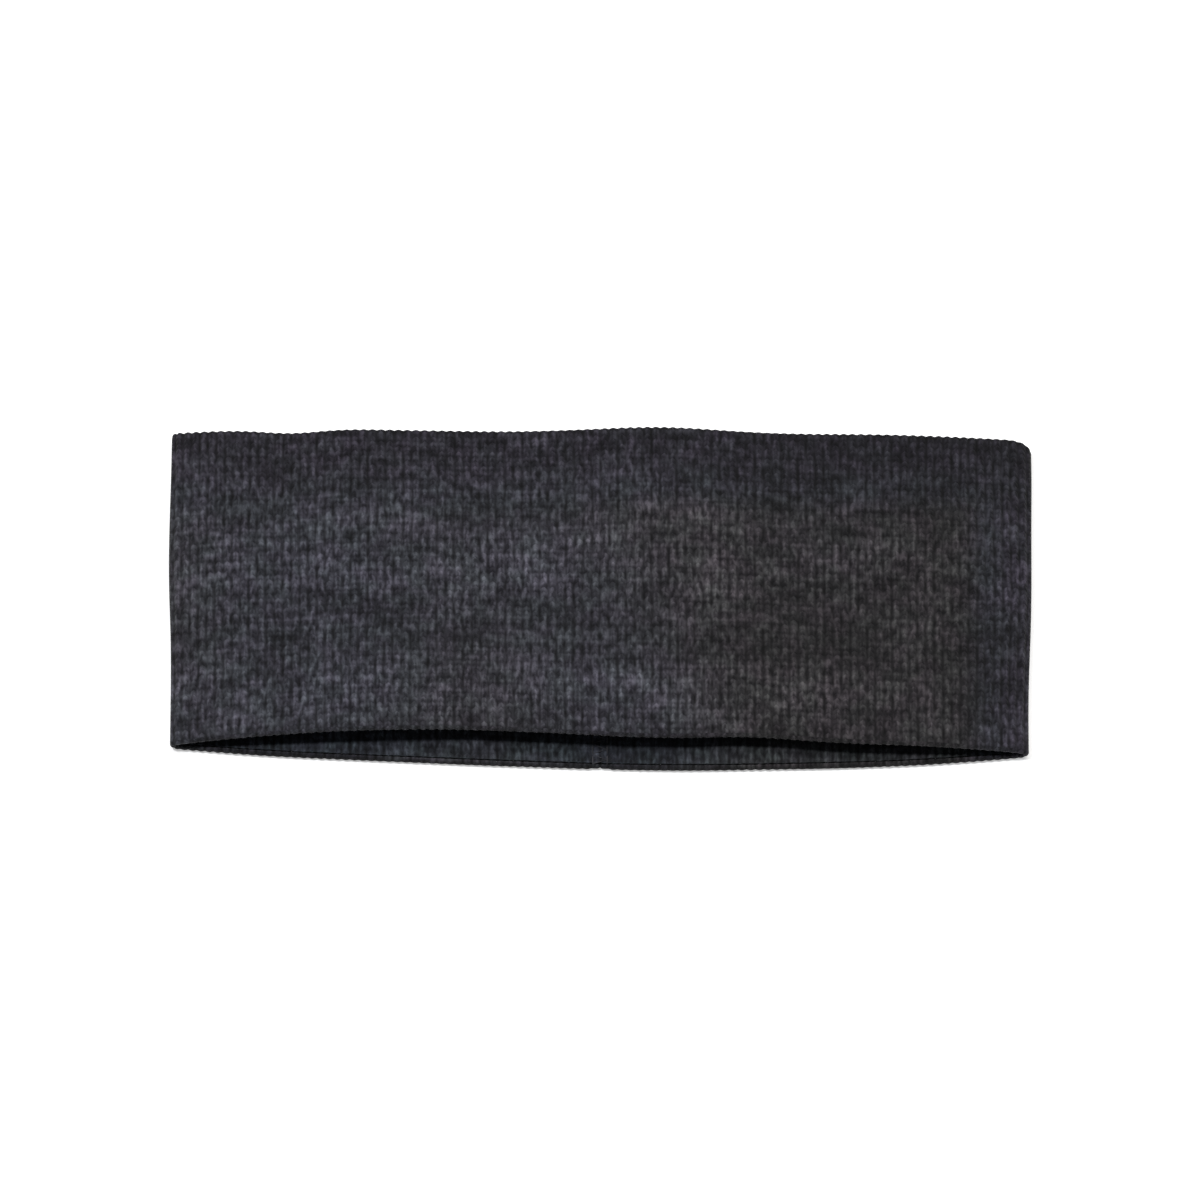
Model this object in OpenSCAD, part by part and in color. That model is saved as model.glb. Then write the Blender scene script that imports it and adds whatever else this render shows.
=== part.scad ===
// Sports headband: a wide stretch band of ribbed knit, lying flat on a surface.
// X runs across the flat band, Y from its lower edge to its upper edge, Z up from the surface.
// The front half lies over the back half, and the two are joined at the side folds.
// Each half has an outer shell ply and a lining ply. The shell is turned over both edges, and the
// overlocked seam allowances lie hidden between the plies.

/* [Band] */
// Width across the side folds
flat_w = 240; // [200:2:280]
// Height of the band at the side folds
band_h = 91; // [60:1:110]
// Space between the front and back halves at the middle
open_gap = 8; // [5:0.2:16]
// Radius of the inside of a side fold
fold_gap = 0.6; // [0.3:0.1:2]
// Slope of the front half where it leaves a side fold, in degrees
shoulder = 14; // [11:1:25]
// Radius of the corners of the flat outline
corner_r = 3; // [2:0.5:8]

/* [Edges] */
// Rise of the front half's upper edge at the middle
top_bow = 0.4; // [0:0.1:4]
// Rise of the front half's lower edge at the middle
front_lift = 2.4; // [0:0.2:8]
// Drop of the back half's upper edge at the middle
back_dip = 3; // [0:0.2:6]
// Drop of the back half's lower edge at the middle
back_drop = 4.8; // [0:0.2:10]
// Width of shell cloth turned over each edge
edge_turn = 1.4; // [0.8:0.1:5]

/* [Cloth] */
// Thickness of the outer shell ply
shell_ply = 0.9; // [0.7:0.05:1.5]
// Thickness of the lining ply
lining_ply = 0.8; // [0.6:0.05:1.5]
// Thickness of the overlocked allowances between the plies
allowance_t = 0.3; // [0.2:0.05:0.8]
// Width of the overlocked allowances
allowance_w = 5; // [3:0.5:8]

/* [Back seams] */
// Width and depth of a laid stitch
thread_t = 0.35; // [0.2:0.05:0.5]
// Length of one stitch
stitch_l = 2.4; // [1.6:0.1:4]
// Space between two stitches of a row
stitch_gap = 0.6; // [0.4:0.1:2]
// Distance between the two rows of a back seam
row_gap = 4; // [2:0.2:8]
// Length of lining seam left open for turning, then sewn shut by hand
turning_l = 33; // [20:1:45]

/* [Care label] */
// Width of the label
label_w = 16; // [10:1:30]
// Length of the folded label, from its sewn end to its fold
label_l = 20; // [12:1:30]
// Thickness of the label ribbon
ribbon_t = 0.2; // [0.15:0.05:0.4]
// Space between the two leaves of the label
leaf_gap = 0.15; // [0.1:0.05:0.5]

/* [Hidden] */

// Thickness of the whole wall, and the radius of a side fold outside
wall = shell_ply + allowance_t + lining_ply;
fold_r = wall + fold_gap;
// Height of the whole band as it lies
lying_h = 2 * wall + open_gap;
half_w = flat_w / 2;

// The front half leaves each side fold on a long shoulder arc, which runs into its flat middle
fold_x = half_w - fold_r;
shoulder_r = (lying_h - fold_r * (1 + cos(shoulder))) / (1 - cos(shoulder));
shoulder_x = fold_x - (shoulder_r - fold_r) * sin(shoulder);
shoulder_z = lying_h - shoulder_r;
shoulder_steps = 14;
fold_steps = 12;

// Upper and lower edges at the side folds, with the outline centred on the origin
side_top = (band_h + back_drop - top_bow) / 2;
side_low = side_top - band_h;
back_top = side_top - back_dip;
back_low = side_low - back_drop;
edge_steps = 24;
corner_steps = 6;
// Reach of the blocks that cut the band to its outline
reach = lying_h + 1;
half_reach = band_h;

// Stitches of a back seam, from one turned edge to the other
seam_len = back_top - back_low - 2 * edge_turn;
stitch_pitch = stitch_l + stitch_gap;
stitch_n = floor(seam_len / stitch_pitch);
seam_mid = (back_top + back_low) / 2;
turning_mid = seam_mid - band_h / 8;

// The label hangs from the turned upper edge of the back half
label_top = back_top - edge_turn;
label_t = 2 * ribbon_t + leaf_gap;
tack_n = 5;
tack_pitch = label_w / tack_n;
tack_l = tack_pitch - stitch_gap;
tack_y = label_top - 1.2;

function stitch_y(i) = seam_mid + (i - (stitch_n - 1) / 2) * stitch_pitch;
function in_turning(y) = abs(y - turning_mid) < turning_l / 2;

// Points of an arc about [x, y], from one angle to another
function arc(x, y, r, from, to, steps) = [for (i = [0:steps])
    let (a = from + (to - from) * i / steps) [x + r * cos(a), y + r * sin(a)]];
function mirrored(points) = [for (i = [len(points) - 1:-1:0]) [-points[i].x, points[i].y]];

// The band's section, moved inwards by depth: its right side runs from the flat underside round the
// fold and up the shoulder, and its left side mirrors that
function right_side(depth) = concat(
    arc(fold_x, fold_r, fold_r - depth, -90, 0, fold_steps),
    arc(fold_x, fold_r, fold_r - depth, 90 / fold_steps, 90 - shoulder, fold_steps),
    arc(shoulder_x, shoulder_z, shoulder_r - depth, 90 - shoulder * (1 - 1 / shoulder_steps), 90,
        shoulder_steps - 1));
function section(depth) = concat(right_side(depth), mirrored(right_side(depth)));

// A half's edge between the rounded corners, risen at the middle. It runs right where way is 1 and
// left where it is -1
function edge(y, rise, way) = [for (i = [1:edge_steps - 1])
    let (share = way * (2 * i / edge_steps - 1))
    [share * (half_w - corner_r), y + rise * (1 - pow(share, 2))]];
function corner(x, y, from) = arc(x, y, corner_r, from, from + 90, corner_steps);

// Solid block of the band's section, moved inwards by depth
module block(depth) {
    translate([0, half_reach, 0])
        rotate([90, 0, 0])
            linear_extrude(2 * half_reach)
                polygon(section(depth));
}

// Flat outline of a half, with both edges moved inwards
module outline(top_rise, low_rise, inset) {
    x = half_w - corner_r;
    top = side_top - inset;
    low = side_low + inset;
    polygon(concat(
        corner(-x, low + corner_r, 180), edge(low, low_rise, 1), corner(x, low + corner_r, 270),
        corner(x, top - corner_r, 0), edge(top, top_rise, -1), corner(-x, top - corner_r, 90)));
}

// Everything above or below the outlines of both halves, which meet at the middle of the side folds
module cut_to_outline(inset) {
    intersection() {
        children();
        translate([0, 0, fold_r])
            linear_extrude(reach)
                outline(top_bow, front_lift, inset);
    }
    intersection() {
        children();
        translate([0, 0, fold_r - reach])
            linear_extrude(reach)
                outline(-back_dip, -back_drop, inset);
    }
}

// A ply of cloth between two depths, cut to the outline
module ply(from, to, inset) {
    cut_to_outline(inset)
        difference() {
            block(from);
            block(to);
        }
}

// A row of stitches along Y, at x, whose lower faces are at z
module stitch_row(x, z) {
    for (i = [0:stitch_n - 1])
        if (z < shell_ply || !in_turning(stitch_y(i)))
            translate([x - thread_t / 2, stitch_y(i) - stitch_l / 2, z])
                cube([thread_t, stitch_l, thread_t]);
}

module outer_shell() {
    color("#3b3a40")
        difference() {
            ply(0, wall, 0);
            cut_to_outline(edge_turn)
                block(shell_ply);
            shell_back_seam();
        }
}

module inner_lining() {
    color("#4a4d52")
        difference() {
            ply(shell_ply + allowance_t, wall, edge_turn);
            lining_back_seam();
            closing_stitches();
        }
}

// Overlocked allowances of both plies, along one edge all the way round
module edge_seam(side) {
    difference() {
        intersection() {
            ply(shell_ply, shell_ply + allowance_t, edge_turn);
            translate([-flat_w, side > 0 ? 0 : -band_h, -1])
                cube([2 * flat_w, band_h, reach + 1]);
        }
        cut_to_outline(edge_turn + allowance_w)
            block(0);
    }
}

module top_edge_seam() {
    color("#2a2a30")
        edge_seam(1);
}

module bottom_edge_seam() {
    color("#2a2a30")
        edge_seam(-1);
}

module shell_back_seam() {
    color("#26262b")
        for (side = [-1, 1])
            stitch_row(side * row_gap / 2, 0);
}

module lining_back_seam() {
    color("#26262b")
        for (side = [-1, 1])
            stitch_row(side * row_gap / 2, wall - thread_t);
}

// Hand stitches across the lining's open seam
module closing_stitches() {
    across = row_gap + thread_t;
    color("#26262b")
        for (i = [0:stitch_n - 1])
            if (in_turning(stitch_y(i)))
                translate([-across / 2, stitch_y(i) - thread_t / 2, wall - thread_t])
                    cube([across, thread_t, thread_t]);
}

// A ribbon folded once at its lower end, lying on the lining
module care_label() {
    color("#d8d8d6")
        translate([-label_w / 2, label_top, wall])
            rotate([90, 0, 90])
                linear_extrude(label_w)
                    difference() {
                        translate([-label_l, 0])
                            square([label_l, label_t]);
                        translate([-label_l + ribbon_t, ribbon_t])
                            square([label_l, leaf_gap]);
                    }
}

module label_stitches() {
    color("#c4c4c2")
        for (i = [0:tack_n - 1])
            translate([(i + 0.5) * tack_pitch - label_w / 2 - tack_l / 2, tack_y, wall + label_t])
                cube([tack_l, thread_t, thread_t]);
}

outer_shell();
inner_lining();
top_edge_seam();
bottom_edge_seam();
shell_back_seam();
lining_back_seam();
closing_stitches();
care_label();
label_stitches();
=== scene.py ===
"""A wide sports headband of charcoal rib knit, lying flat on a pale surface.

The band is a closed loop of two plies. Each ply is a sheet of ribbed cloth, made flat with a bmesh
grid and then bent round the loop. Seams, hand stitches and a blank ribbon label are separate pieces.
"""

import math

import bmesh
import bpy
import numpy as np
from bpy.props import FloatProperty, FloatVectorProperty, IntProperty, PointerProperty
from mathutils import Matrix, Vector


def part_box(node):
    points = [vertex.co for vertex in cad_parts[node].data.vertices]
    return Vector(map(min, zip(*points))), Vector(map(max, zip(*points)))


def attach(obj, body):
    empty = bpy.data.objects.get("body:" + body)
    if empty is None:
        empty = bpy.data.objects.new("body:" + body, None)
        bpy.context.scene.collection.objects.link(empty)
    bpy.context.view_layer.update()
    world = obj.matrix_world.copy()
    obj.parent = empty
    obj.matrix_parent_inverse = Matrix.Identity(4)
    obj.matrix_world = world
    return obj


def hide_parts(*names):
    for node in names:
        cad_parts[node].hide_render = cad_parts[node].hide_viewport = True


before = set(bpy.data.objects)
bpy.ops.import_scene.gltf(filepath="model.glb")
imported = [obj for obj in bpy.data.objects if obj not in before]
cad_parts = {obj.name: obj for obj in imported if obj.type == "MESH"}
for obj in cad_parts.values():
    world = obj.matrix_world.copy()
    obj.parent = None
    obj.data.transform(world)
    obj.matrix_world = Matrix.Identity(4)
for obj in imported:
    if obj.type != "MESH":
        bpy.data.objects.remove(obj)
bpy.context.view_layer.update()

bl_info = {
    "name": "Sports headband",
    "version": (1, 0, 0),
    "blender": (4, 5, 0),
    "location": "3D View > Sidebar > Headband",
    "description": "Builds a ribbed knit headband piece by piece around its packed frame",
    "category": "Object",
}

MM = 0.001
LOW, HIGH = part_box("outer_shell")
LINING_LOW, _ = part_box("inner_lining")
ALLOWANCE_LOW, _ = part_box("top_edge_seam")
SHELL_SEAM_LOW, SHELL_SEAM_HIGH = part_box("shell_back_seam")
LINING_SEAM_LOW, LINING_SEAM_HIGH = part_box("lining_back_seam")
TURNING_LOW, TURNING_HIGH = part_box("closing_stitches")
LABEL_LOW, LABEL_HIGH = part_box("care_label")
TACKS_LOW, TACKS_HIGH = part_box("label_stitches")

# Depths below the band's outer face: the shell's inner face, the lining's back and its inner face
SHELL_PLY = ALLOWANCE_LOW.z
LINING_BACK = LINING_LOW.z
WALL = LINING_SEAM_HIGH.z
HALF_W = HIGH.x
LYING_H = HIGH.z
# Across the edges, the lining starts this far in from the shell's edge
EDGE_TURN = LINING_LOW.y - LOW.y
THREAD = LINING_SEAM_HIGH.z - LINING_SEAM_LOW.z
ROW_X = SHELL_SEAM_HIGH.x - THREAD / 2
SPAN_Y = HIGH.y - LOW.y

# How the soft edges stray from their bowed lines. A hump is its height, its middle and its half width,
# along x in metres, or along x as a share of the half width.
BOW_POWER = 2.4
EDGE_SHIFT = 0.3 * MM
LOWER_SLANT, UPPER_SLANT = -1.3 * MM, -0.3 * MM
LOWER_RIPPLE, LOWER_RIPPLE_PITCH = 0.25 * MM, 60 * MM
UPPER_RIPPLE, UPPER_RIPPLE_PITCH = 0.45 * MM, 55 * MM
LOWER_HUMPS = ((0.7 * MM, -HALF_W / 2, 32 * MM),)
UPPER_HUMPS = (
    (1.1 * MM, -HALF_W, 45 * MM), (1.0 * MM, 18 * MM, 22 * MM),
    (-1.1 * MM, -86 * MM, 11 * MM), (-0.4 * MM, 80 * MM, 20 * MM))
FRONT_LIFT_LEFT, FRONT_LIFT_RIGHT = 1.1 * MM, 0.15 * MM
FRONT_LIFT_HUMPS = ((0.7 * MM, 0.33, 0.12), (-0.7 * MM, 0.6, 0.14))
CORNER_RUN, CORNER_FALL, CORNER_BEND = 7 * MM, 3.2 * MM, 0.96

# How the cloth settles: the front half sags, and the side folds waver and draw in
SWELL_DEPTH, SWELL_REST = 1.1 * MM, 0.9
TOP_SAG, HEM_DROOP = 1.0 * MM, 1.9 * MM
FOLD_WAVER, FOLD_WAVER_PITCH = 0.5 * MM, 40 * MM
FOLD_DRAW_LOW, FOLD_DRAW_RIGHT, FOLD_DRAW_LEFT = 0.7 * MM, 0.5 * MM, 0.4 * MM
RIB_DRIFT, RIB_DRIFT_PITCH = 0.22 * MM, 25 * MM

# Painted light and shade of the lying front half, multiplied into its colour about 1: lighter bands where
# its swells and hem face the light, and painted shade at the top and to the right. UNEVEN is a random
# unevenness in tone. A band is its strength, its middle and its half width, as shares of the height.
PAINTED_LIGHT_BASE = 1.05
PAINTED_LIGHT_BAND, HEM_PAINTED_LIGHT = (0.52, 0.58, 0.15), (0.56, 0.13, 0.11)
TOP_PAINTED_SHADE, RIGHT_PAINTED_SHADE, UNEVEN = 0.2, 0.36, 0.08
# Painted shade along the rims, where the cloth turns away, and at the side folds: a rim's width as a share
# of the height, the strengths at the back, front and top rims and at the folds, and the most painted shade
# anywhere
PAINTED_RIM_WIDTH = 0.011
BACK_RIM_SHADE, FRONT_RIM_SHADE, TOP_RIM_SHADE, FOLD_SHADE, MOST_SHADE = 0.6, 0.2, 0.5, 0.5, 0.6

# Mesh rows across each face of a ply, and mesh columns to a rib
SHELL_FACE_ROWS, SHELL_BACK_ROWS, SHELL_COLUMNS = 40, 13, 6
LINING_FACE_ROWS, LINING_BACK_ROWS, LINING_COLUMNS = 30, 20, 5
ALLOWANCE_ROWS, ALLOWANCE_COLUMNS = 5, 3
LABEL_COLUMNS, LABEL_ROWS = 24, 72
# Vertices closer than this are one: at a ply's closing line, and at the ends of a thread
PLY_WELD, THREAD_WELD = 1e-6, 1e-7
# Beside a back seam the ribs are pressed to this depth, and the join itself is a narrow groove
PRESS_START, PRESS_END, PRESS_DEPTH = ROW_X + 0.3 * MM, ROW_X + 1.3 * MM, 0.24 * MM
GROOVE_DEPTH, GROOVE_HALF = 0.3 * MM, 0.35 * MM
# Rolled cloth: the small radius at the end of a turned edge, and the lining's clearance from it
LIP = 0.3 * MM
LINING_SLACK = 0.12 * MM
# Overlocked allowances: their width, their clearance from the turned edge, and their thin thread
ALLOWANCE_WIDTH = 4.7 * MM
ALLOWANCE_SLACK = 0.15 * MM
OVERLOCK_R = 0.05 * MM
# Stitches, as points along a stitch: a share of half its length, and a depth or a rise in threads
MACHINE_STITCH = ((-1, 1.3), (-0.86, 0.35), (-0.4, 0.05), (0.4, 0.05), (0.86, 0.35), (1, 1.3))
HAND_STITCH = ((-1, 1.3), (-0.85, 0.3), (-0.4, 0), (0.4, 0), (0.85, 0.3), (1, 1.3))
TACK_STITCH = ((-1, -1.2), (-0.85, 0.1), (-0.4, 0.4), (0.4, 0.4), (0.85, 0.1), (1, -1.2))
TACKS = 5
RIBBON, RIBBON_LIFT, RIBBON_CURL = 0.2 * MM, 1.3 * MM, 0.5 * MM

# The heather's noise: grains a metre across and along the ribs, detail, roughness, weight in its tone
FLECKS = {
    "dashes": ((760, 290, 1), 1.0, 0.5, 2.0),
    "specks": ((1250, 520, 1), 1.0, 0.5, 0.55),
    "streaks": ((130, 560, 1), 1.0, 0.5, 1.0),
    "fibres": ((2600, 1100, 1), 2.0, 0.5, 0.2),
    "clouds": ((55, 95, 1), 3.0, 0.6, 0.5),
}
STITCH_TONE = 0.25
# Tints that multiply the heather
PLUM, MOSS = (1.035, 0.97, 1.03, 1), (0.965, 1.025, 0.985, 1)
COOL, WARM, VIOLET = (0.95, 0.995, 1.065, 1), (1.06, 1.0, 0.91, 1), (1.02, 0.97, 1.1, 1)
LINING_TINT = (1.03, 1.19, 1.2)

# Sun lamps: direction towards the lamp, angle in degrees, power and colour
LAMPS = {
    "key": ((-0.33, 0.16, 0.93), 8, 1.95, (0.98, 0.99, 1.0)),
    "fill": ((0.25, 0.55, 0.8), 50, 2.2, (1.0, 0.985, 0.96)),
}
SKY_COLOUR = (0.95, 0.97, 1.0, 1)
SKY_LIGHT, SKY_SEEN = 0.12, 1.1
FLOOR_HALF = 20
FLOOR_DROP = 0.05 * MM


class BandSizes(bpy.types.PropertyGroup):
    """Sizes of the band that its frame doesn't give by itself."""

    fold_gap: FloatProperty(
        name="Fold gap", description="Radius inside a side fold", default=0.6 * MM, unit="LENGTH")
    shoulder: FloatProperty(
        name="Shoulder", description="Slope of the front half where it leaves a side fold",
        default=math.radians(14), subtype="ANGLE")
    top_bow: FloatProperty(
        name="Top bow", description="Rise of the front half's upper edge", default=0.4 * MM,
        unit="LENGTH")
    front_lift: FloatProperty(
        name="Front lift", description="Rise of the front half's lower edge", default=2.4 * MM,
        unit="LENGTH")
    back_dip: FloatProperty(
        name="Back dip", description="Drop of the back half's upper edge", default=3 * MM,
        unit="LENGTH")
    back_drop: FloatProperty(
        name="Back drop", description="Drop of the back half's lower edge", default=4.8 * MM,
        unit="LENGTH")
    ribs: IntProperty(name="Ribs", description="Ribs round the whole band", default=204)
    rib_relief: FloatProperty(
        name="Rib relief", description="Height of a rib above its valley", default=0.36 * MM,
        unit="LENGTH")
    course: FloatProperty(
        name="Course", description="Height of one row of knit stitches", default=1.5 * MM,
        unit="LENGTH")
    stitch: FloatProperty(
        name="Stitch", description="Length of one seam stitch", default=2.4 * MM, unit="LENGTH")
    stitch_gap: FloatProperty(
        name="Stitch gap", description="Space between seam stitches", default=0.6 * MM,
        unit="LENGTH")


class BandColours(bpy.types.PropertyGroup):
    """Colours of the knit, the threads and the label."""

    yarn: FloatVectorProperty(
        name="Yarn", description="Main colour of the shell's yarn", subtype="COLOR",
        default=(0.0242, 0.0235, 0.0282))
    pale_yarn: FloatVectorProperty(
        name="Pale fibres", description="Pale fibres spun into the yarn", subtype="COLOR",
        default=(0.073, 0.0715, 0.083))
    dark_yarn: FloatVectorProperty(
        name="Dark fibres", description="Dark fibres spun into the yarn", subtype="COLOR",
        default=(0.006, 0.0057, 0.0075))
    thread: FloatVectorProperty(
        name="Thread", description="Seam thread", subtype="COLOR", default=(0.036, 0.035, 0.041))
    label: FloatVectorProperty(
        name="Label", description="Woven satin of the label", subtype="COLOR",
        default=(0.62, 0.615, 0.59))


class StageSettings(bpy.types.PropertyGroup):
    """Camera, floor and light."""

    tilt: FloatProperty(
        name="Camera elevation", description="Height of the camera above the horizon",
        default=math.radians(72), subtype="ANGLE")
    lens: FloatProperty(
        name="Lens", description="Focal length in millimetres", default=600)
    width_share: FloatProperty(
        name="Width share", description="Share of the picture that the band's width takes",
        default=0.72, subtype="FACTOR")
    floor: FloatVectorProperty(
        name="Floor", description="Colour of the floor", subtype="COLOR",
        default=(0.88, 0.88, 0.88))
    glow: FloatProperty(
        name="Floor glow", description="Light that the floor gives, as a light table does",
        default=0.4)


# ---------------------------------------------------------------- the band's shape


def smooth(x, low, high):
    """0 below low, 1 above high, and a smooth step between."""
    t = np.clip((x - low) / (high - low), 0, 1)
    return t * t * (3 - 2 * t)


def bump(x, centre, width):
    """A soft hump of height 1 about centre."""
    return np.exp(-(((x - centre) / width) ** 2))


def humps(x, table):
    """The sum of a table's humps at x."""
    return sum(height * bump(x, middle, width) for height, middle, width in table)


def waves(x, y, seed, pitch):
    """Gentle seeded waves from -1 to 1 over x and y, with nothing shorter than pitch."""
    rng = np.random.default_rng(seed)
    total = 0
    for _ in range(7):
        turn, phase = rng.uniform(0, 2 * math.pi, 2)
        length = pitch * rng.uniform(1, 2.4)
        total = total + np.sin(2 * math.pi * (x * np.cos(turn) + y * np.sin(turn)) / length + phase)
    return total / 4


class Band:
    """The loop that every piece of the band is bent round.

    A place on it is s, the way round from the centre back in metres, v, which runs from 0 at the
    lower edge to 1 at the upper edge, and a depth below the outer face.
    """

    def __init__(self, sizes):
        self.sizes = sizes
        self.fold_r = WALL + sizes.fold_gap
        self.fold_x = HALF_W - self.fold_r
        slope = sizes.shoulder
        self.shoulder_r = (LYING_H - self.fold_r * (1 + math.cos(slope))) / (1 - math.cos(slope))
        self.shoulder_x = self.fold_x - (self.shoulder_r - self.fold_r) * math.sin(slope)
        # Ways round from the centre back to the end of a side fold, and to the end of the rise
        self.fold_s = self.fold_x + self.fold_r * (math.pi - slope)
        self.shoulder_s = self.fold_s + self.shoulder_r * slope
        self.girth = 2 * (self.shoulder_s + self.shoulder_x)
        self.side_top = HIGH.y - sizes.top_bow
        self.side_low = LOW.y + sizes.back_drop
        self.side_height = self.side_top - self.side_low
        self.pitch = self.girth / sizes.ribs

    def way_round(self, depth):
        """Length of the loop at a depth below its outer face."""
        return self.girth - 2 * math.pi * depth

    def section(self, s, depth):
        """x and z at s on the band's section, at a depth below the outer face."""
        s = np.mod(s, self.girth)
        side = np.where(s > self.girth / 2, -1.0, 1.0)
        t = np.where(s > self.girth / 2, self.girth - s, s)
        r = self.fold_r - depth
        a = (t - self.fold_x) / self.fold_r - math.pi / 2
        b = math.pi / 2 - self.sizes.shoulder + (t - self.fold_s) / self.shoulder_r
        rise = self.shoulder_r - depth
        on_fold, on_rise, on_top = t > self.fold_x, t > self.fold_s, t > self.shoulder_s
        x = np.where(on_fold, self.fold_x + r * np.cos(a), t)
        z = np.where(on_fold, self.fold_r + r * np.sin(a), depth)
        x = np.where(on_rise, self.shoulder_x + rise * np.cos(b), x)
        z = np.where(on_rise, LYING_H - self.shoulder_r + rise * np.sin(b), z)
        x = np.where(on_top, self.shoulder_x - (t - self.shoulder_s), x)
        z = np.where(on_top, LYING_H - depth, z)
        return side * x, z

    def front_share(self, s):
        """0 on the back half, 1 on the front half, turning over in the side folds."""
        t = np.where(s > self.girth / 2, self.girth - s, s)
        return smooth(t, self.fold_x, self.fold_s)

    def edges(self, s):
        """y of the lower and upper edge at s, as the soft band lies."""
        x, _ = self.section(s, 0)
        share = x / HALF_W
        bow = 1 - np.abs(share) ** BOW_POWER
        front = self.front_share(s)
        sizes = self.sizes
        low = self.side_low + bow * (sizes.front_lift * front - sizes.back_drop * (1 - front))
        top = self.side_top + bow * (sizes.top_bow * front - sizes.back_dip * (1 - front))
        low = low + EDGE_SHIFT + LOWER_SLANT * share + humps(x, LOWER_HUMPS)
        low = low + LOWER_RIPPLE * waves(x, x * 0, 5, LOWER_RIPPLE_PITCH)
        lift = FRONT_LIFT_LEFT + (FRONT_LIFT_RIGHT - FRONT_LIFT_LEFT) * smooth(share, -0.35, 0.1)
        low = low + bow * front * (lift + humps(share, FRONT_LIFT_HUMPS))
        top = top + EDGE_SHIFT + UPPER_SLANT * share + humps(x, UPPER_HUMPS)
        top = top + UPPER_RIPPLE * waves(x, front * 20 * MM, 8, UPPER_RIPPLE_PITCH)
        corner = np.clip((x - HALF_W + CORNER_RUN) / CORNER_RUN, 0, 1)
        top = top - CORNER_FALL * (1 - np.sqrt(1 - CORNER_BEND * corner ** 2))
        return low, top

    def swell(self, x, v):
        """From -1 in the hollows of the lying front half to 1 on its soft swells."""
        crest = 0.6 + 0.045 * np.sin(2.2 * x / HALF_W + 0.5)
        two_rolls = np.cos(4 * math.pi * (v - crest))
        return 0.7 * two_rolls + 0.35 * waves(x, v * SPAN_Y, 21, 34 * MM)

    def worn(self, x, v, s):
        """Painted light and shade in the cloth's colour, about 1, with a random unevenness in tone:
        lighter on the front half's swells and hem, painted shade at the top, to the right, along the rims
        and at the side folds.
        """
        share = x / HALF_W
        # Painted light: lighter bands where the front half's swells and hem face the light. Painted shade:
        # darker towards the top and to the right. The waves below are a random unevenness in tone.
        hem_light = humps(v, [HEM_PAINTED_LIGHT]) * (1 - 0.6 * smooth(share, 0.4, 0.8))
        pale = PAINTED_LIGHT_BASE + humps(v, [PAINTED_LIGHT_BAND]) + hem_light - TOP_PAINTED_SHADE * smooth(v, 0.72, 0.95)
        pale = pale * (1 - RIGHT_PAINTED_SHADE * smooth(share, 0.1, 0.45) * (1 - 0.5 * bump(v, 0, 0.15)))
        uneven = UNEVEN * waves(s, v * SPAN_Y, 26, 24 * MM)
        front = self.front_share(s)
        # Painted shade along the rims, where the cloth curves away out of the light, and at the side folds
        rim = (BACK_RIM_SHADE + (FRONT_RIM_SHADE - BACK_RIM_SHADE) * front) * bump(v, 0, PAINTED_RIM_WIDTH)
        rim = rim + TOP_RIM_SHADE * bump(v, 1, PAINTED_RIM_WIDTH) + FOLD_SHADE * smooth(np.abs(share), 0.985, 1)
        return (1 + front * (pale - 1) + uneven) * (1 - np.clip(rim, 0, MOST_SHADE))

    def warmth(self, x, v):
        """From -1, where the heather leans to plum, past 0, slate blue, to 1, brown."""
        drift = waves(x, v * SPAN_Y, 4, 45 * MM)
        lean = 0.22 + 0.7 * smooth(x / HALF_W, -0.2, 0.5) + 0.22 * drift
        plum = np.maximum(smooth(v, 0.7, 0.95), smooth(x / HALF_W, 0.8, 1))
        return np.clip(lean, 0, 1) * (1 - plum) - plum

    def settle(self, x, y, z, s, v):
        """Soft folds of the lying cloth: the front half undulates and the side folds waver."""
        front = self.front_share(s)
        share = x / HALF_W
        inner = front * (1 - np.abs(share) ** 4)
        z = z + inner * SWELL_DEPTH * (self.swell(x, v) - SWELL_REST)
        z = z - inner * (TOP_SAG * v + HEM_DROOP * (1 - smooth(v, 0, 0.3)))
        side = np.sign(x) * np.abs(share) ** 8
        x = x + side * FOLD_WAVER * waves(y, np.sign(x) * 30 * MM, 33, FOLD_WAVER_PITCH)
        x = x - side * FOLD_DRAW_LOW * (1 - smooth(v, 0, 0.35)) - FOLD_DRAW_LEFT * np.minimum(side, 0)
        x = x - FOLD_DRAW_RIGHT * np.maximum(side, 0) * (1 - smooth(v, 0.1, 0.6))
        return x, y, z

    def place(self, s, y_share, depth, edge_offset=0.0):
        """Points at s, at a share of the height from the lower edge, moved up by edge_offset."""
        low, top = self.edges(s)
        x, z = self.section(s, depth)
        y = low + (top - low) * y_share + edge_offset
        v = (y - low) / (top - low)
        return np.stack(self.settle(x, y, z, s, v), -1)


def band():
    return Band(bpy.context.scene.headband_sizes)


# ---------------------------------------------------------------- mesh helpers


def finished(mesh, name, slot, material, *nodes):
    """A piece of the object from a mesh: named, linked, riding and with its finish."""
    piece = bpy.data.objects.new(name, mesh)
    bpy.context.scene.collection.objects.link(piece)
    mesh.name = name
    mesh.materials.clear()
    mesh.materials.append(material)
    mesh.polygons.foreach_set("use_smooth", [True] * len(mesh.polygons))
    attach(piece, "root")
    if nodes:
        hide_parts(*nodes)
    return piece


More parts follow.
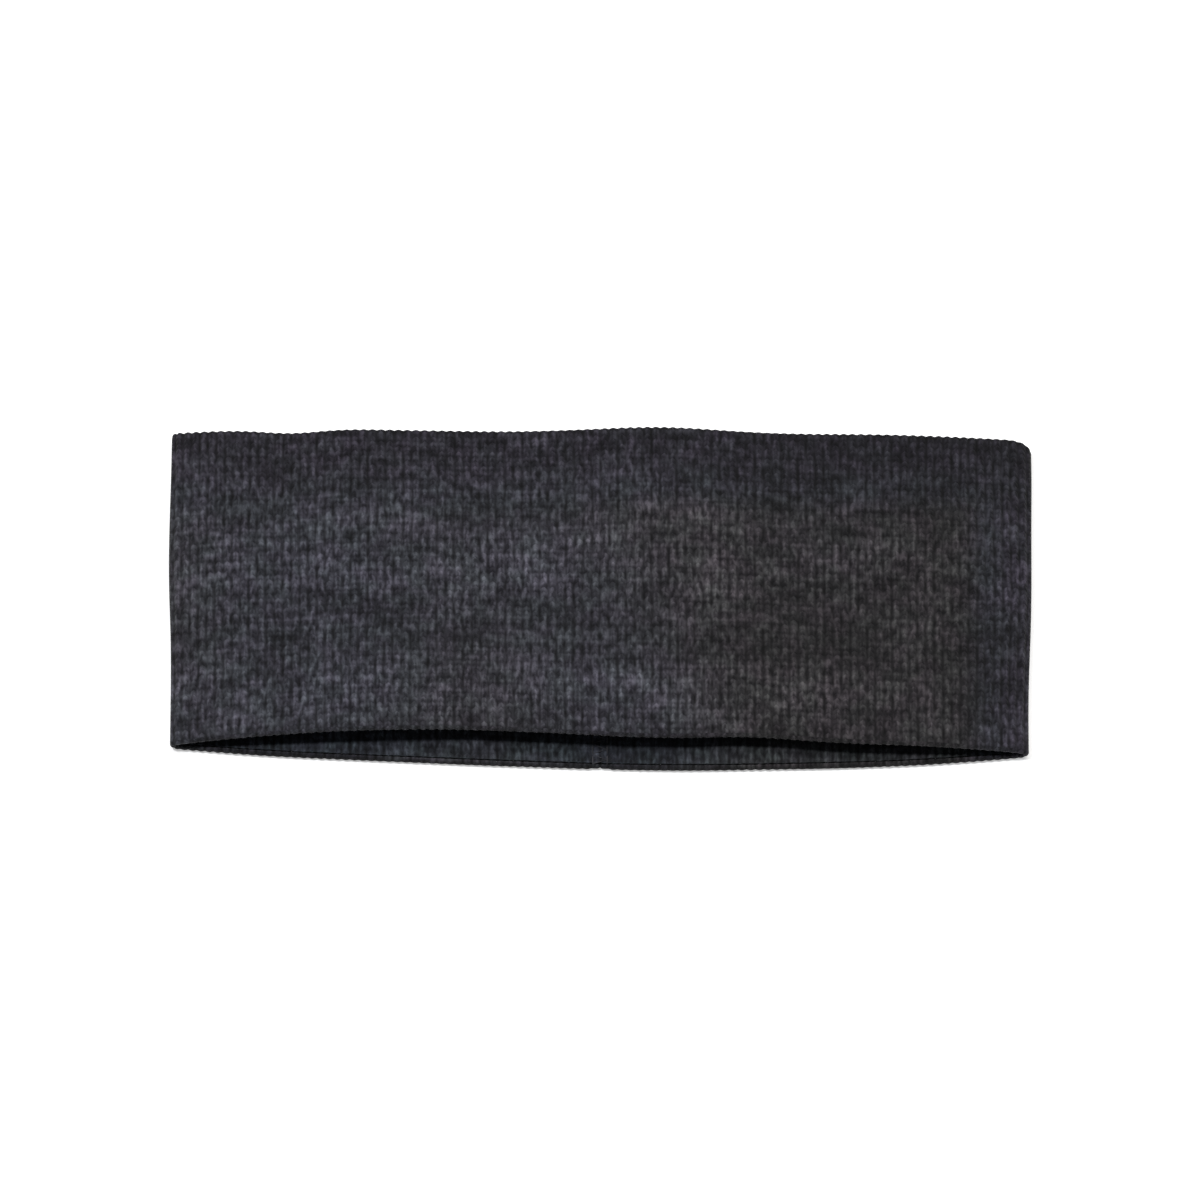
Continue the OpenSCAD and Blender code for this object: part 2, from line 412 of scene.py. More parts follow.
class Profile:
    """The closed section of one ply, from its lower edge up one face and back down the other.

    Each row is a share of the band's height, an offset from there, a depth, and the way in which
    a valley between two ribs sinks there.
    """

    def __init__(self):
        self.rows = []

    def face(self, steps, inset, depth, sink, upwards=True):
        """Rows up or down the whole height, which start and end inset from the edges."""
        for i in range(steps + 1):
            share = i / steps if upwards else 1 - i / steps
            self.rows.append((share, inset * (1 - 2 * share), depth, 0, sink))

    def turn(self, share, offset, depth, radius, angles, relief=1):
        """Rows round an arc about an offset and a depth. Angle 0 faces outwards, and pi inwards."""
        for angle in angles:
            up, out = math.sin(angle), math.cos(angle)
            self.rows.append(
                (share, offset + radius * up, depth - radius * out, -up * relief, out * relief))

    def table(self):
        return np.array(self.rows)


def angles(start, end, steps, skip=0):
    """Evenly spaced angles in radians, without the first few. start and end are in half turns."""
    return np.linspace(start, end, steps + 1)[skip:] * math.pi


def shell_profile():
    """The shell's outer face, its cloth turned over both edges, and its hidden inner face."""
    rim = WALL / 2
    profile = Profile()
    profile.face(SHELL_FACE_ROWS, rim, 0, 1)
    profile.turn(1, -rim, rim, rim, angles(0, 1, 9, 1))
    profile.turn(1, LIP - EDGE_TURN, WALL - LIP, LIP, angles(1, 1.5, 3), 0.5)
    profile.face(SHELL_BACK_ROWS, EDGE_TURN, SHELL_PLY, 0, upwards=False)
    profile.turn(0, EDGE_TURN - LIP, WALL - LIP, LIP, angles(0.5, 1, 3), 0.5)
    profile.turn(0, rim, rim, rim, angles(1, 2, 9)[:-1])
    return profile.table()


def lining_profile():
    """The lining's face inside the loop and its hidden back, rounded where it meets the shell."""
    inset = EDGE_TURN + LINING_SLACK
    profile = Profile()
    profile.face(LINING_FACE_ROWS, inset + LIP, WALL, -1)
    profile.turn(1, -inset - LIP, WALL - LIP, LIP, angles(0.833, 0.5, 2), 0.5)
    profile.face(LINING_BACK_ROWS, inset, LINING_BACK, 0, upwards=False)
    profile.turn(0, inset + LIP, WALL - LIP, LIP, angles(1.5, 1.167, 2), 0.5)
    return profile.table()


def ply_mesh(name, shape, profile, per_rib, relief):
    """A closed ply of ribbed cloth: a flat grid rolled up both ways, bent round the band.

    The UV map holds the flat cloth's own metres: the way round the band, and the way round the
    ply's section.
    """
    columns, rows = shape.sizes.ribs * per_rib, len(profile)
    bm = bmesh.new()
    bm.loops.layers.uv.new("cloth")
    bmesh.ops.create_grid(bm, x_segments=columns, y_segments=rows, size=0.5, calc_uvs=True)
    mesh = bpy.data.meshes.new(name)
    bm.to_mesh(mesh)
    bm.free()
    flat = np.empty((len(mesh.vertices), 3), np.float32)
    mesh.vertices.foreach_get("co", flat.ravel())
    column = np.rint((flat[:, 0] + 0.5) * columns)
    row = np.rint((flat[:, 1] + 0.5) * rows).astype(int)
    share, offset, depth, sink_y, sink_depth = profile[row % rows].T
    s = column / columns * shape.girth
    sink = relief(s, share, np.mod(column / per_rib, 1))
    drift = RIB_DRIFT * waves(s, share * HIGH.y * 2, 3, RIB_DRIFT_PITCH)
    drift = drift * (1 - bump(s, 0, 5 * MM)) * (1 - bump(s, shape.girth, 5 * MM))
    points = shape.place(s + drift, share, depth + sink * sink_depth, offset + sink * sink_y)
    mesh.vertices.foreach_set("co", points.astype(np.float32).ravel())
    x = points[:, 0]
    v = share + offset / SPAN_Y
    # Painted light and shade of the lying cloth, with a random unevenness in tone, and the lean of the
    # heather's hue
    lay = {"worn": shape.worn(x, v, s), "warmth": shape.warmth(x, v)}
    for attribute, values in lay.items():
        data = mesh.attributes.new(attribute, "FLOAT", "POINT").data
        data.foreach_set("value", values.astype(np.float32))
    height = np.array([SPAN_Y, 1, 1])
    steps = np.diff(profile[np.arange(rows + 1) % rows][:, :3] * height, axis=0)
    steps = np.hypot(steps[:, 0] + steps[:, 1], steps[:, 2])
    along = np.concatenate([[0], np.cumsum(steps)])
    corner_vertex = np.empty(len(mesh.loops), np.int32)
    mesh.loops.foreach_get("vertex_index", corner_vertex)
    uv = np.stack([s[corner_vertex], along[row[corner_vertex]]], -1)
    mesh.uv_layers["cloth"].uv.foreach_set("vector", uv.astype(np.float32).ravel())
    bm = bmesh.new()
    bm.from_mesh(mesh)
    bmesh.ops.remove_doubles(bm, verts=bm.verts, dist=PLY_WELD)
    bmesh.ops.recalc_face_normals(bm, faces=bm.faces)
    bm.to_mesh(mesh)
    bm.free()
    return mesh


def thread_mesh(name, paths, radius):
    """Round threads of one thickness along paths of points, as one mesh."""
    curve = bpy.data.curves.new(name, "CURVE")
    curve.dimensions = "3D"
    curve.bevel_depth = radius
    curve.bevel_resolution = 1
    curve.resolution_u = 3
    curve.use_fill_caps = True
    for path in paths:
        spline = curve.splines.new("POLY")
        spline.points.add(len(path) - 1)
        for point, place in zip(spline.points, path):
            point.co = (*place, 1)
    holder = bpy.data.objects.new(name, curve)
    bpy.context.scene.collection.objects.link(holder)
    bpy.context.view_layer.update()
    mesh = bpy.data.meshes.new_from_object(holder)
    bpy.data.objects.remove(holder)
    bpy.data.curves.remove(curve)
    bm = bmesh.new()
    bm.from_mesh(mesh)
    bmesh.ops.remove_doubles(bm, verts=bm.verts, dist=THREAD_WELD)
    bmesh.ops.recalc_face_normals(bm, faces=bm.faces)
    bm.to_mesh(mesh)
    bm.free()
    return mesh


# ---------------------------------------------------------------- node helpers


def add(tree, kind, inputs=None, **settings):
    """A node with its settings, and its inputs linked to sockets or set to values."""
    node = tree.nodes.new("ShaderNode" + kind)
    for name, value in settings.items():
        setattr(node, name, value)
    for name, value in (inputs or {}).items():
        if isinstance(value, bpy.types.NodeSocket):
            tree.links.new(value, node.inputs[name])
        else:
            node.inputs[name].default_value = value
    return node


def maths(tree, operation, *values):
    return add(tree, "Math", dict(enumerate(values)), operation=operation).outputs[0]


def ramp(tree, value, low, high, to_low=0.0, to_high=1.0):
    """value eased from to_low at low to to_high at high."""
    inputs = {"Value": value, "From Min": low, "From Max": high, "To Min": to_low, "To Max": to_high}
    return add(tree, "MapRange", inputs, interpolation_type="SMOOTHSTEP").outputs["Result"]


def stretched(tree, vector, scale):
    """vector with each of its parts multiplied."""
    inputs = {"Vector": vector, "Scale": scale}
    return add(tree, "Mapping", inputs).outputs["Vector"]


def noise(tree, vector, scale, detail=1.0, rough=0.5):
    """Noise from 0 to 1 whose grains are 1/scale metres, given for each direction."""
    inputs = {"Vector": stretched(tree, vector, scale), "Scale": 1.0, "Detail": detail, "Roughness": rough}
    return add(tree, "TexNoise", inputs).outputs["Fac"]


def mixed(tree, share, a, b, blend="MIX"):
    node = add(tree, "Mix", data_type="RGBA", blend_type=blend)
    for socket, value in ((node.inputs[0], share), (node.inputs[6], a), (node.inputs[7], b)):
        if isinstance(value, bpy.types.NodeSocket):
            tree.links.new(value, socket)
        else:
            socket.default_value = value
    return node.outputs[2]


def group(name, inputs, outputs):
    """An empty node group with named sockets, and its input and output nodes."""
    tree = bpy.data.node_groups.new(name, "ShaderNodeTree")
    for socket, kind in inputs.items():
        tree.interface.new_socket(socket, in_out="INPUT", socket_type="NodeSocket" + kind)
    for socket, kind in outputs.items():
        tree.interface.new_socket(socket, in_out="OUTPUT", socket_type="NodeSocket" + kind)
    return tree, tree.nodes.new("NodeGroupInput").outputs, tree.nodes.new("NodeGroupOutput").inputs


def placed(tree, source, inputs):
    """A group put into a material, with its inputs linked or set."""
    node = tree.nodes.new("ShaderNodeGroup")
    node.node_tree = source
    for name, value in inputs.items():
        if isinstance(value, bpy.types.NodeSocket):
            tree.links.new(value, node.inputs[name])
        else:
            node.inputs[name].default_value = value
    return node.outputs


# ---------------------------------------------------------------- materials


def knit_group():
    """Rows of knit stitches up each rib: their height, a number of its own for each stitch, and a mask of
    the valleys between ribs, which the heather darkens partly as painted shade.
    """
    name = "Rib knit stitches"
    if name in bpy.data.node_groups:
        return bpy.data.node_groups[name]
    tree, given, out = group(
        name, {"Cloth": "Vector", "Rib": "Float", "Course": "Float"},
        {"Height": "Float", "Stitch": "Float", "Valley": "Float"})
    parts = add(tree, "SeparateXYZ", {0: given["Cloth"]}).outputs
    across = maths(tree, "DIVIDE", parts["X"], given["Rib"])
    side = maths(tree, "SUBTRACT", maths(tree, "FRACT", across), 0.5)
    leg = maths(tree, "ABSOLUTE", side)
    up = maths(tree, "DIVIDE", parts["Y"], given["Course"])
    row = maths(tree, "ADD", up, maths(tree, "MULTIPLY", leg, 1.3))
    turn = maths(tree, "MULTIPLY", maths(tree, "FRACT", row), 2.0)
    turn = maths(tree, "POWER", maths(tree, "ABSOLUTE", maths(tree, "SUBTRACT", turn, 1.0)), 2.5)
    yarn = maths(tree, "SUBTRACT", 1.0, turn)
    groove = ramp(tree, leg, 0.0, 0.1, 0.55, 1.0)
    valley = ramp(tree, leg, 0.18, 0.5)
    height = maths(tree, "MULTIPLY", yarn, groove)
    tree.links.new(maths(tree, "MULTIPLY", height, maths(tree, "SUBTRACT", 1.0, valley)), out["Height"])
    half = maths(tree, "MULTIPLY", maths(tree, "GREATER_THAN", side, 0.0), 0.5)
    cell = add(tree, "CombineXYZ", {
        "X": maths(tree, "ADD", maths(tree, "FLOOR", across), half),
        "Y": maths(tree, "FLOOR", row)}).outputs[0]
    tree.links.new(add(tree, "TexWhiteNoise", {"Vector": cell}).outputs["Value"], out["Stitch"])
    # The valley mask goes to the heather, which darkens the valleys partly as painted shade and partly as
    # the darker purl yarn
    tree.links.new(valley, out["Valley"])
    return tree


def heather_group():
    """Mottled heather colour of a yarn spun from pale and dark fibres, multiplied by painted shade in the
    rib valleys and by the painted light and shade of the lying cloth.
    """
    name = "Heather yarn"
    if name in bpy.data.node_groups:
        return bpy.data.node_groups[name]
    tree, given, out = group(
        name, {"Cloth": "Vector", "Stitch": "Float", "Valley": "Float", "Worn": "Float",
               "Warmth": "Float", "Yarn": "Color", "Pale": "Color", "Dark": "Color"},
        {"Color": "Color", "Fibres": "Float"})
    cloth = given["Cloth"]
    tone = maths(tree, "MULTIPLY", maths(tree, "SUBTRACT", given["Stitch"], 0.5), STITCH_TONE)
    flecks = {}
    for kind, (grains, detail, rough, weight) in FLECKS.items():
        flecks[kind] = noise(tree, cloth, grains, detail, rough)
        part = maths(tree, "MULTIPLY", maths(tree, "SUBTRACT", flecks[kind], 0.5), weight)
        tone = maths(tree, "ADD", tone, part)
    dark = ramp(tree, tone, -0.65, 0.15)
    pale = ramp(tree, tone, -0.15, 0.85)
    colour = mixed(tree, dark, given["Dark"], given["Yarn"])
    colour = mixed(tree, pale, colour, given["Pale"])
    hue = ramp(tree, noise(tree, cloth, (120, 120, 1), 2.0), 0.35, 0.65)
    colour = mixed(tree, 1.0, colour, mixed(tree, hue, PLUM, MOSS), "MULTIPLY")
    lean = mixed(tree, ramp(tree, given["Warmth"], 0.0, 1.0), COOL, WARM)
    lean = mixed(tree, ramp(tree, given["Warmth"], -1.0, 0.0, 1.0, 0.0), lean, VIOLET)
    colour = mixed(tree, 1.0, colour, lean, "MULTIPLY")
    # Painted shade in the rib valleys, broken up by noise: partly the darker purl yarn, partly shade that
    # falls between the ribs. The clouds vary the tone at random.
    broken = ramp(tree, noise(tree, cloth, (300, 260, 1), 1.0), 0.25, 0.75, 0.8, 0.22)
    shade = maths(tree, "SUBTRACT", 1.0, maths(tree, "MULTIPLY", given["Valley"], broken))
    shade = maths(tree, "MULTIPLY", shade, ramp(tree, flecks["clouds"], 0.25, 0.75, 0.8, 1.2))
    # Painted light and shade of the lying cloth, with its random unevenness in tone
    shade = maths(tree, "MULTIPLY", shade, given["Worn"])
    shade = add(tree, "CombineColor", {"Red": shade, "Green": shade, "Blue": shade}).outputs[0]
    tree.links.new(mixed(tree, 1.0, colour, shade, "MULTIPLY"), out["Color"])
    tree.links.new(flecks["fibres"], out["Fibres"])
    return tree


def new_material(name, roughness, sheen):
    """A material with a matt, fibrous shader, and its node tree and shader node."""
    material = bpy.data.materials.new(name)
    material.use_nodes = True
    shader = material.node_tree.nodes["Principled BSDF"]
    shader.inputs["Roughness"].default_value = roughness
    shader.inputs["Specular IOR Level"].default_value = 0.25
    shader.inputs["Sheen Weight"].default_value = sheen
    shader.inputs["Sheen Roughness"].default_value = 0.5
    return material, material.node_tree, shader


def tinted(colour, tint):
    return (*(c * t for c, t in zip(colour, tint)), 1)


def knit_material(name, tint):
    """Charcoal heather rib knit, with each part of its colour multiplied by tint."""
    material, tree, shader = new_material(name, 0.95, 0.06)
    sizes, colours = bpy.context.scene.headband_sizes, bpy.context.scene.headband_colours
    cloth = add(tree, "UVMap", uv_map="cloth").outputs["UV"]
    rib = Band(sizes).pitch
    knit = placed(tree, knit_group(), {"Cloth": cloth, "Rib": rib, "Course": sizes.course})
    heather = placed(tree, heather_group(), {
        "Cloth": cloth, "Stitch": knit["Stitch"], "Valley": knit["Valley"],
        "Worn": add(tree, "Attribute", attribute_name="worn").outputs["Fac"],
        "Warmth": add(tree, "Attribute", attribute_name="warmth").outputs["Fac"],
        "Yarn": tinted(colours.yarn, tint), "Pale": tinted(colours.pale_yarn, tint),
        "Dark": tinted(colours.dark_yarn, tint)})
    height = maths(tree, "ADD", knit["Height"], maths(tree, "MULTIPLY", heather["Fibres"], 0.8))
    relief = add(tree, "Bump", {"Height": height, "Strength": 0.85, "Distance": 0.25 * MM})
    tree.links.new(relief.outputs["Normal"], shader.inputs["Normal"])
    tree.links.new(heather["Color"], shader.inputs["Base Color"])
    return material


def thread_material(name, colour):
    """Spun thread with a faint twist and a little variation in tone."""
    material, tree, shader = new_material(name, 0.7, 0.1)
    place = add(tree, "TexCoord").outputs["Object"]
    spun = noise(tree, place, (3000, 3000, 3000), 2.0)
    tone = noise(tree, place, (300, 300, 300), 1.0)
    dull, bright = tinted(colour, (0.7,) * 3), tinted(colour, (1.35,) * 3)
    tree.links.new(mixed(tree, ramp(tree, tone, 0.3, 0.7), dull, bright), shader.inputs["Base Color"])
    relief = add(tree, "Bump", {"Height": spun, "Strength": 0.6, "Distance": 0.08 * MM})
    tree.links.new(relief.outputs["Normal"], shader.inputs["Normal"])
    return material


def satin_material(name, colour):
    """Woven satin ribbon: fine warp threads across a soft sheen."""
    material, tree, shader = new_material(name, 0.42, 0.15)
    cloth = add(tree, "UVMap", uv_map="cloth").outputs["UV"]
    warp = noise(tree, cloth, (9000, 500, 1), 1.0)
    weft = noise(tree, cloth, (700, 6000, 1), 1.0)
    weave = maths(tree, "ADD", warp, maths(tree, "MULTIPLY", weft, 0.6))
    soiled = ramp(tree, noise(tree, cloth, (140, 90, 1), 3.0), 0.35, 0.75)
    shade = mixed(tree, soiled, tinted(colour, (1, 1, 1)), tinted(colour, (0.86, 0.85, 0.82)))
    grain = mixed(tree, ramp(tree, weave, 0.5, 1.1), tinted((1, 1, 1), (0.9,) * 3), (1, 1, 1, 1))
    tree.links.new(mixed(tree, 1.0, shade, grain, "MULTIPLY"), shader.inputs["Base Color"])
    relief = add(tree, "Bump", {"Height": weave, "Strength": 0.5, "Distance": 0.05 * MM})
    tree.links.new(relief.outputs["Normal"], shader.inputs["Normal"])
    return material


def shared(maker, name, *values):
    """The material of that name, made the first time that it is asked for."""
    return bpy.data.materials.get(name) or maker(name, *values)


# ---------------------------------------------------------------- operators


def pressed(sink, from_seam):
    """The ribs' depth, pressed flat under the rows of a back seam and deeper at its join."""
    flat = 1 - smooth(from_seam, PRESS_START, PRESS_END)
    groove = GROOVE_DEPTH * bump(from_seam, 0, GROOVE_HALF)
    return sink * (1 - 0.75 * flat) + PRESS_DEPTH * flat + groove


class HEADBAND_OT_shell(bpy.types.Operator):
    """Builds the outer shell: a ribbed loop of cloth, turned over both edges"""

    bl_idname = "headband.shell"
    bl_label = "Outer shell"

    def execute(self, context):
        shape = band()
        sizes = shape.sizes

        def relief(s, share, phase):
            """Depth of the cloth below the ribs' crests."""
            crest = (0.5 - 0.5 * np.cos(2 * math.pi * phase)) ** 0.8
            from_seam = np.minimum(s, shape.girth - s)
            uneven = 0.3 * waves(s, share * SPAN_Y, 14, 25 * MM)
            strong = 0.8 + uneven * smooth(from_seam, 0, 6 * MM) - 0.3 * bump(share, 0, 0.05)
            return pressed(sizes.rib_relief * strong * (1 - crest), from_seam)

        mesh = ply_mesh("outer_shell", shape, shell_profile(), SHELL_COLUMNS, relief)
        material = shared(knit_material, "shell rib knit", (1, 1, 1))
        piece = finished(mesh, "shell_cloth", "rib_knit", material, "outer_shell")
        flat = (shape.way_round(SHELL_PLY / 2), shape.side_height + 2 * (WALL + EDGE_TURN))
        return {"FINISHED"}


class HEADBAND_OT_lining(bpy.types.Operator):
    """Builds the lining: a ribbed loop of cloth inside the shell, its ribs facing inwards"""

    bl_idname = "headband.lining"
    bl_label = "Lining"

    def execute(self, context):
        shape = band()
        sizes = shape.sizes

        def relief(s, share, phase):
            """Depth of the cloth below the ribs' crests."""
            crest = 0.5 - 0.5 * np.cos(2 * math.pi * phase)
            from_seam = np.minimum(s, shape.girth - s)
            return pressed(sizes.rib_relief * 1.05 * (1 - crest), from_seam)

        mesh = ply_mesh("inner_lining", shape, lining_profile(), LINING_COLUMNS, relief)
        material = shared(knit_material, "lining rib knit", LINING_TINT)
        piece = finished(mesh, "lining_cloth", "rib_knit_lining", material, "inner_lining")
        flat = (shape.way_round((LINING_BACK + WALL) / 2), shape.side_height - 2 * EDGE_TURN)
        return {"FINISHED"}


class HEADBAND_OT_edge_seams(bpy.types.Operator):
    """Builds the overlocked allowances of both plies along the upper and lower edges"""

    bl_idname = "headband.edge_seams"
    bl_label = "Edge seams"

    def execute(self, context):
        shape = band()
        front, back = SHELL_PLY + 2 * OVERLOCK_R, LINING_BACK - 2 * OVERLOCK_R
        inset = EDGE_TURN + ALLOWANCE_SLACK
        reach = inset + ALLOWANCE_WIDTH
        for name, share, inwards, node in (
                ("top", 1, -1, "top_edge_seam"), ("bottom", 0, 1, "bottom_edge_seam")):
            profile = np.array([
                (share, inwards * place, depth, 0, 0)
                for depth, places in ((front, (inset, reach)), (back, (reach, inset)))
                for place in np.linspace(*places, ALLOWANCE_ROWS)])
            mesh = ply_mesh(name, shape, profile, ALLOWANCE_COLUMNS, lambda s, share, phase: 0 * s)
            finished(
                mesh, name + "_allowance", "rib_knit",
                shared(knit_material, "shell rib knit", (1, 1, 1)), node)
            count = round(shape.girth / context.scene.headband_sizes.stitch)
            turns = np.arange(count * 4) / 4
            side = np.array([(inset, 0), (reach, 0), (reach, 1), (inset, 1)])[np.arange(count * 4) % 4]
            lay = front - OVERLOCK_R + side[:, 1] * (back - front + 2 * OVERLOCK_R)
            path = shape.place(turns / count * shape.girth, share, lay, inwards * side[:, 0])
            finished(
                thread_mesh(name, [path], OVERLOCK_R), name + "_overlock", "overlock_thread",
                shared(thread_material, "seam thread", context.scene.headband_colours.thread), node)
        return {"FINISHED"}


def seam_places(low, high):
    """y of the middle of each stitch between the ends of a seam."""
    sizes = bpy.context.scene.headband_sizes
    pitch = sizes.stitch + sizes.stitch_gap
    count = round((high - low + sizes.stitch_gap) / pitch)
    return [low + sizes.stitch / 2 + i * pitch for i in range(count)]


def laid_stitch(x, y, face, inwards):
    """A stitch along y on a face at height face, whose ends dive into the cloth."""
    half = bpy.context.scene.headband_sizes.stitch / 2
    lie = face + inwards * THREAD / 2
    return [(x, y + half * share, lie + inwards * dive * THREAD) for share, dive in MACHINE_STITCH]


def ladder(places, face, inwards):
    """The cover thread that crosses from row to row under the stitches of a flat seam."""
    half = bpy.context.scene.headband_sizes.stitch / 2
    under, between = face + inwards * 0.5 * THREAD, face + inwards * 0.35 * THREAD
    path = []
    for y in places:
        path += [
            (-ROW_X, y - half, under), (0, y - half / 2, between),
            (ROW_X, y, under), (0, y + half / 2, between)]
    return path


class HEADBAND_OT_back_seams(bpy.types.Operator):
    """Builds the flat seams at the centre back and the hand stitches that close the turning gap"""

    bl_idname = "headband.back_seams"
    bl_label = "Back seams"

    def execute(self, context):
        material = shared(thread_material, "seam thread", context.scene.headband_colours.thread)
        shell = seam_places(SHELL_SEAM_LOW.y, SHELL_SEAM_HIGH.y)
        turning = [y for y in shell if TURNING_LOW.y - THREAD < y < TURNING_HIGH.y + THREAD]
        lining = [y for y in shell if y not in turning]
        for name, places, face, inwards, node in (
                ("shell_seam_stitches", shell, 0, 1, "shell_back_seam"),
                ("lining_seam_stitches", lining, WALL, -1, "lining_back_seam")):
            rows = [laid_stitch(x, y, face, inwards) for y in places for x in (-ROW_X, ROW_X)]
            runs = [places]
            if places is lining:
                runs = [[y for y in lining if y < turning[0]], [y for y in lining if y > turning[-1]]]
            mesh = thread_mesh(name, rows, THREAD / 2)
            covers = thread_mesh(name, [ladder(run, face, inwards) for run in runs], THREAD / 3)
            bm = bmesh.new()
            bm.from_mesh(mesh)
            bm.from_mesh(covers)
            bm.to_mesh(mesh)
            bm.free()
            finished(mesh, name, "seam_thread", material, node)
        rng = np.random.default_rng(12)
        hand = []
        for y in turning:
            lean, shift = rng.uniform(0.3, 0.8) * MM, rng.uniform(-0.15, 0.15) * MM
            reach = ROW_X * rng.uniform(0.8, 1.0)
            lie = WALL - THREAD / 2
            hand.append([
                (reach * share, y + shift + lean * share, lie - dive * THREAD)
                for share, dive in HAND_STITCH])
        finished(thread_mesh("closing", hand, THREAD / 2), "closing_hand_stitches", "seam_thread",
                 material, "closing_stitches")
        return {"FINISHED"}


def ribbon_mesh(bend, leaf):
    """A ribbon folded once about a bend, with two leaves whose free ends lift a little.

    The UV map holds the flat ribbon's own metres.
    """
    width, outer = LABEL_HIGH.x - LABEL_LOW.x, 2 * leaf + math.pi * bend
    bm = bmesh.new()
    uv = bm.loops.layers.uv.new("cloth")
    bmesh.ops.create_grid(
        bm, x_segments=LABEL_COLUMNS, y_segments=LABEL_ROWS, size=0.5, calc_uvs=True)
    for face in bm.faces:
        for corner in face.loops:
            x, t = corner.vert.co.xy
            corner[uv].uv = ((x + 0.5) * width, (t + 0.5) * outer)
    for vertex in bm.verts:
        x, t = vertex.co.x, (vertex.co.y + 0.5) * outer
        if t < leaf:
            y, z = LABEL_HIGH.y - t, LABEL_LOW.z
        elif t > outer - leaf:
            y, z = LABEL_HIGH.y - (outer - t), LABEL_HIGH.z
        else:
            angle = (t - leaf) / bend
            y = LABEL_HIGH.y - leaf - bend * math.sin(angle)
            z = LABEL_LOW.z + bend * (1 - math.cos(angle))
        free = (LABEL_HIGH.y - y) / (LABEL_HIGH.y - LABEL_LOW.y)
        z += RIBBON_LIFT * max(0, free - 0.25) ** 2 + RIBBON_CURL * free ** 2 * (2 * x) ** 2
        vertex.co = (x * width, y, z)
    bmesh.ops.recalc_face_normals(bm, faces=bm.faces)
    bmesh.ops.solidify(bm, geom=bm.faces[:], thickness=RIBBON)
    bmesh.ops.translate(bm, verts=bm.verts, vec=(0, 0, RIBBON / 2))
    bmesh.ops.recalc_face_normals(bm, faces=bm.faces)
    mesh = bpy.data.meshes.new("label")
    bm.to_mesh(mesh)
    bm.free()
    return mesh


class HEADBAND_OT_label(bpy.types.Operator):
    """Builds the blank ribbon label, folded once, and the tacks that hold it"""

    bl_idname = "headband.label"
    bl_label = "Label"

    def execute(self, context):
        colours = context.scene.headband_colours
        bend = (LABEL_HIGH.z - LABEL_LOW.z) / 2
        leaf = LABEL_HIGH.y - LABEL_LOW.y - bend
        satin = shared(satin_material, "label ribbon", colours.label)
        label = finished(ribbon_mesh(bend, leaf), "ribbon_label", "label_satin", satin, "care_label")
        pitch = (LABEL_HIGH.x - LABEL_LOW.x) / TACKS
        half = (pitch - context.scene.headband_sizes.stitch_gap) / 2
        y = (TACKS_LOW.y + TACKS_HIGH.y) / 2
        top = LABEL_HIGH.z + RIBBON / 2
        tacks = []
        for i in range(TACKS):
            x = LABEL_LOW.x + (i + 0.5) * pitch
            tacks.append([(x + half * share, y, top + THREAD * rise) for share, rise in TACK_STITCH])
        thread = shared(thread_material, "label thread", colours.label)
        pins = finished(
            thread_mesh("tacks", tacks, THREAD / 2), "label_tacks", "label_thread", thread,
            "label_stitches")
        return {"FINISHED"}


def aimed(thing, away):
    """An object that looks from the direction away, whose -Z axis points at the band."""
    piece = bpy.data.objects.new(thing.name, thing)
    piece.rotation_euler = away.to_track_quat("Z", "Y").to_euler()
    bpy.context.scene.collection.objects.link(piece)
    return piece


def place_camera(settings):
    """A camera with a long lens above the lower edge, which takes in the whole band."""
    away = Vector((0, -math.cos(settings.tilt), math.sin(settings.tilt)))
    camera = aimed(bpy.data.cameras.new("camera"), away)
    camera.data.lens = settings.lens
    distance = 2 * HALF_W / settings.width_share * settings.lens / camera.data.sensor_width
    camera.location = Vector((0, (LOW.y + HIGH.y) / 2, LYING_H / 2)) + away * distance
    bpy.context.scene.camera = camera


def lay_floor(settings):
    """A pale floor that glows faintly, just under the band."""
    bm = bmesh.new()
    bmesh.ops.create_grid(bm, x_segments=1, y_segments=1, size=FLOOR_HALF)
    bmesh.ops.translate(bm, verts=bm.verts, vec=(0, 0, -FLOOR_DROP))
    mesh = bpy.data.meshes.new("floor")
    bm.to_mesh(mesh)
    bm.free()
    floor = bpy.data.objects.new("floor", mesh)
    bpy.context.scene.collection.objects.link(floor)
    material = bpy.data.materials.new("floor")
    material.use_nodes = True
    shader = material.node_tree.nodes["Principled BSDF"]
    shader.inputs["Base Color"].default_value = (*settings.floor, 1)
    shader.inputs["Roughness"].default_value = 0.8
    shader.inputs["Emission Color"].default_value = (1, 1, 1, 1)
    shader.inputs["Emission Strength"].default_value = settings.glow
    mesh.materials.append(material)


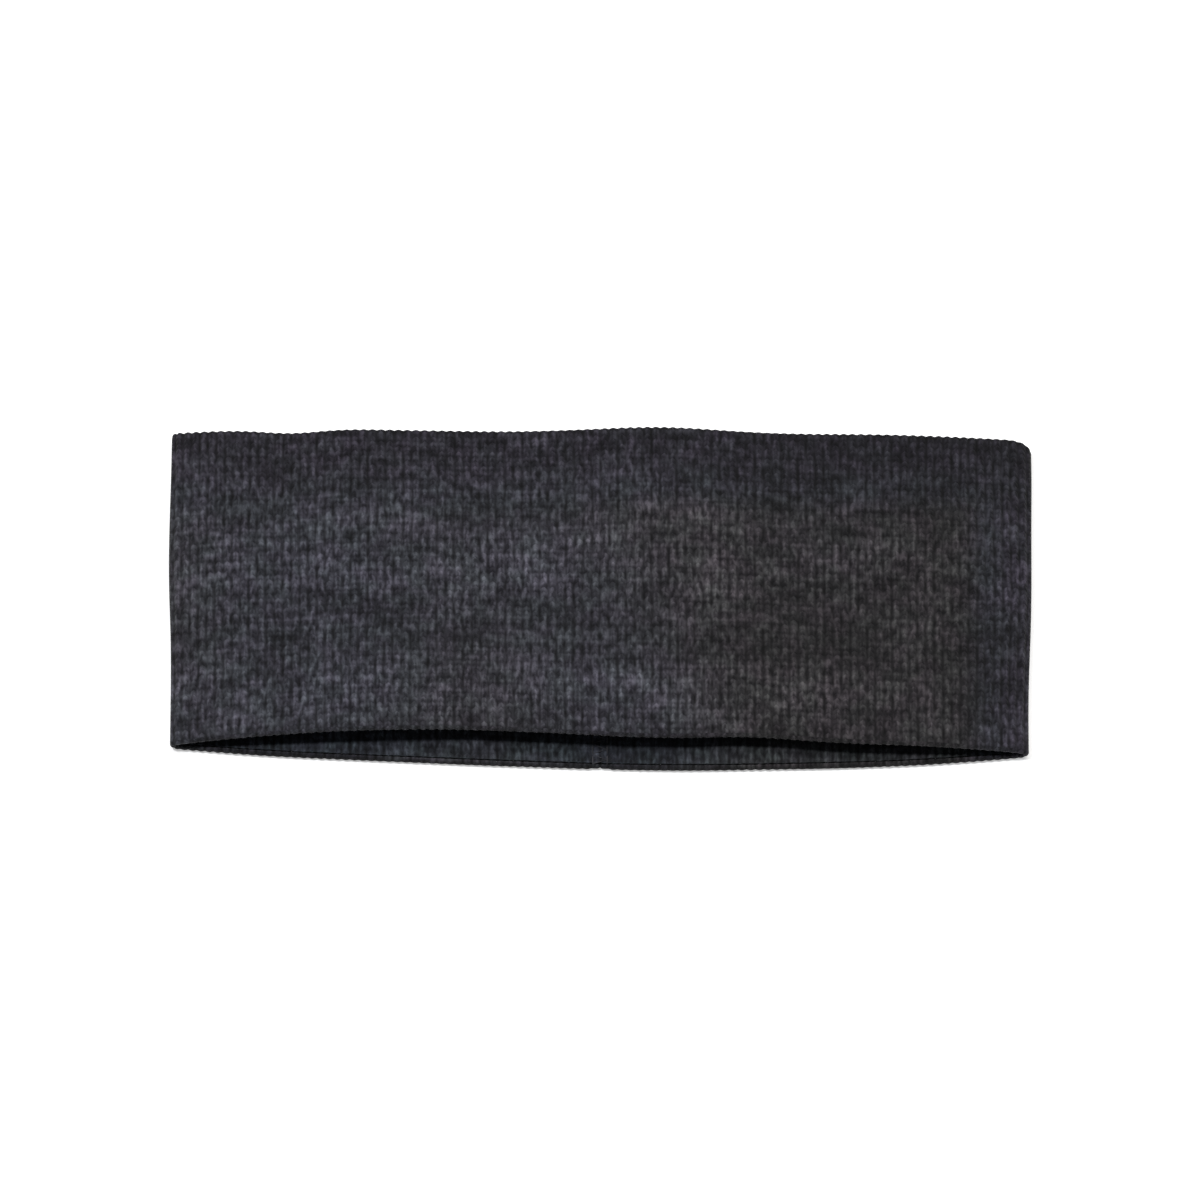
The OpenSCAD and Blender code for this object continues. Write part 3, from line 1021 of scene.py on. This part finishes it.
def light_studio():
    """A dim sky that the camera sees as white, and two sun lamps."""
    world = bpy.data.worlds.new("studio")
    world.use_nodes = True
    tree = world.node_tree
    sky = tree.nodes["Background"]
    sky.inputs["Color"].default_value = SKY_COLOUR
    seen = add(tree, "LightPath").outputs["Is Camera Ray"]
    tree.links.new(ramp(tree, seen, 0.0, 1.0, SKY_LIGHT, SKY_SEEN), sky.inputs["Strength"])
    bpy.context.scene.world = world
    for name, (towards, softness, power, colour) in LAMPS.items():
        light = bpy.data.lights.new(name, "SUN")
        light.angle = math.radians(softness)
        light.energy = power
        light.color = colour
        aimed(light, Vector(towards)).location = towards


class HEADBAND_OT_stage(bpy.types.Operator):
    """Sets the camera, a pale floor and soft studio light"""

    bl_idname = "headband.stage"
    bl_label = "Camera, floor and light"

    def execute(self, context):
        context.scene.view_settings.view_transform = "Standard"
        settings = context.scene.headband_stage
        place_camera(settings)
        lay_floor(settings)
        light_studio()
        return {"FINISHED"}


class HEADBAND_PT_panel(bpy.types.Panel):
    """Buttons for every step of the headband"""

    bl_label = "Headband"
    bl_space_type = "VIEW_3D"
    bl_region_type = "UI"
    bl_category = "Headband"

    def draw(self, context):
        for step in STEPS:
            self.layout.operator(step.bl_idname)


SETTINGS = {
    "headband_sizes": BandSizes,
    "headband_colours": BandColours,
    "headband_stage": StageSettings,
}
# The seams are made before the cloths
STEPS = (
    HEADBAND_OT_edge_seams, HEADBAND_OT_back_seams, HEADBAND_OT_shell, HEADBAND_OT_lining,
    HEADBAND_OT_label, HEADBAND_OT_stage)
CLASSES = (*SETTINGS.values(), *STEPS, HEADBAND_PT_panel)


def register():
    for cls in CLASSES:
        bpy.utils.register_class(cls)
    for name, cls in SETTINGS.items():
        setattr(bpy.types.Scene, name, PointerProperty(type=cls))


def unregister():
    for name in SETTINGS:
        delattr(bpy.types.Scene, name)
    for cls in reversed(CLASSES):
        bpy.utils.unregister_class(cls)


def main():
    register()
    for step in STEPS:
        area, name = step.bl_idname.split(".")
        getattr(getattr(bpy.ops, area), name)()


if __name__ == "__main__":
    main()
